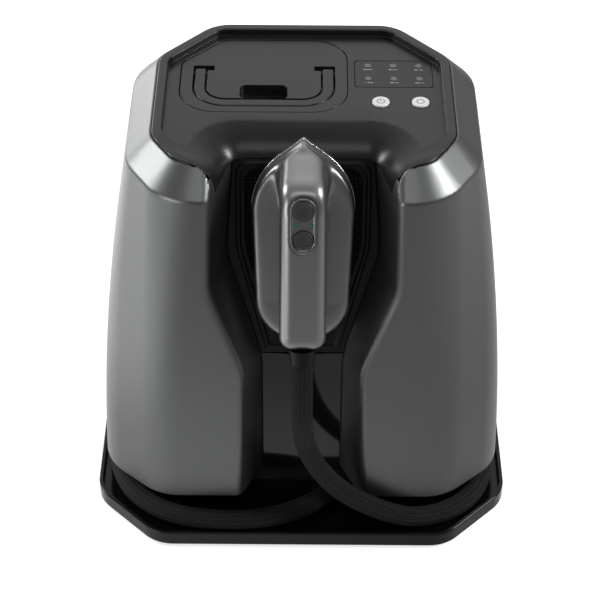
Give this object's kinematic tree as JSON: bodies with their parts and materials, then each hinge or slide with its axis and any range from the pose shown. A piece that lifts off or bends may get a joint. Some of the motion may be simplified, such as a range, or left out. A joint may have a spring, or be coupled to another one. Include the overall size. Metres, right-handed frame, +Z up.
{
  "type": "steam ironing station",
  "caption": "Free-standing steam ironing station: an eight-sided grey tower on a black tray, with a lift-out water tank, a docked steam handset and a hose wrapped round its foot.",
  "frame": {"origin": "under the middle of the tray, on the surface the feet stand on", "axes": "+X to the right seen from the front, +Y to the back, +Z up"},
  "size_m": [0.33, 0.3116, 0.331],
  "materials": {
    "shell_grey": "satin metallic paint",
    "tray_black": "gloss",
    "foot_rubber": "matte",
    "chassis_black": "matte",
    "deck_black": "satin",
    "dock_black": "satin",
    "pad_black": "matte",
    "panel_black": "gloss",
    "display_black": "gloss",
    "lens_grey": "gloss",
    "key_white": "satin",
    "lid_black": "satin",
    "handle_black": "satin",
    "tank_smoke": "clear",
    "well_black": "matte",
    "valve_white": "satin",
    "seal_red": "matte",
    "board_green": "satin",
    "switch_black": "satin",
    "steel": "brushed",
    "boiler_metal": "cast",
    "brass": "turned",
    "tube_white": "satin",
    "hose_textile": "braided",
    "gland_black": "satin",
    "inlet_rubber": "matte",
    "sole_metal": "polished",
    "insulator_black": "matte",
    "handset_silver": "satin metallic paint",
    "button_black": "gloss",
    "bezel_silver": "satin",
    "light_green": "lit"
  },
  "bodies": {
    "station": {"base_tray": "tray_black", "rubber_feet": "foot_rubber", "base_chassis": "chassis_black", "tray_screws": "steel", "left_side_shell": "shell_grey", "right_side_shell": "shell_grey", "rear_cover": "shell_grey", "mains_inlet": "inlet_rubber", "top_deck": "deck_black", "display_window": "display_black", "indicator_lenses": "lens_grey", "key_switches": "switch_black", "control_board": "board_green", "lower_front_panel": "panel_black", "dock_panel": "dock_black", "dock_pad": "pad_black", "tank_well": "well_black", "valve_seat": "valve_white", "seat_seal": "seal_red", "pump": "chassis_black", "boiler": "boiler_metal", "boiler_stand": "chassis_black", "steam_valve": "brass", "relief_valve": "brass", "thermostat": "steel", "water_tube": "tube_white", "steam_tube": "tube_white", "hose_gland": "gland_black", "hose_drop": "hose_textile", "hose_wrap": "hose_textile"},
    "tank": {"tank_body": "tank_smoke", "tank_valve": "valve_white", "tank_lid": "lid_black", "handle_pins": "steel"},
    "bail": {"tank_handle": "handle_black"},
    "power_key": {"power_button": "key_white"},
    "mode_key": {"mode_button": "key_white"},
    "handset": {"soleplate": "sole_metal", "sole_insulator": "insulator_black", "head_cover": "handset_silver", "handle_grip": "handset_silver", "button_bezel": "bezel_silver", "handset_lights": "light_green", "handset_switches": "switch_black", "hose_collar": "gland_black"},
    "steam_key": {"steam_button": "button_black"},
    "lock_key": {"lock_button": "button_black"}
  },
  "joints": [
    {"name": "tank_lift", "type": "slide", "parent": "station", "child": "tank", "axis": [0, 0, 1], "range_m": [0, 0.245]},
    {"name": "handle_fold", "type": "hinge", "parent": "tank", "child": "bail", "pos_m": [-0.0305, 0.04, 0.321], "axis": [-1, 0, 0], "range_deg": [0, 90]},
    {"name": "power_press", "type": "slide", "parent": "station", "child": "power_key", "axis": [0, 0, -1], "range_m": [0, 0.0012], "stiffness_N_per_m": 500},
    {"name": "mode_press", "type": "slide", "parent": "station", "child": "mode_key", "axis": [0, 0, -1], "range_m": [0, 0.0012], "stiffness_N_per_m": 500},
    {"name": "handset_lift", "type": "slide", "parent": "station", "child": "handset", "axis": [0, -0.9613, 0.2756], "range_m": [0, 0.09], "deforming": ["hose_drop"]},
    {"name": "steam_press", "type": "slide", "parent": "handset", "child": "steam_key", "axis": [0, 0.9613, -0.2756], "range_m": [0, 0.0012], "stiffness_N_per_m": 500},
    {"name": "lock_press", "type": "slide", "parent": "handset", "child": "lock_key", "axis": [0, 0.9613, -0.2756], "range_m": [0, 0.0012], "stiffness_N_per_m": 500}
  ]
}
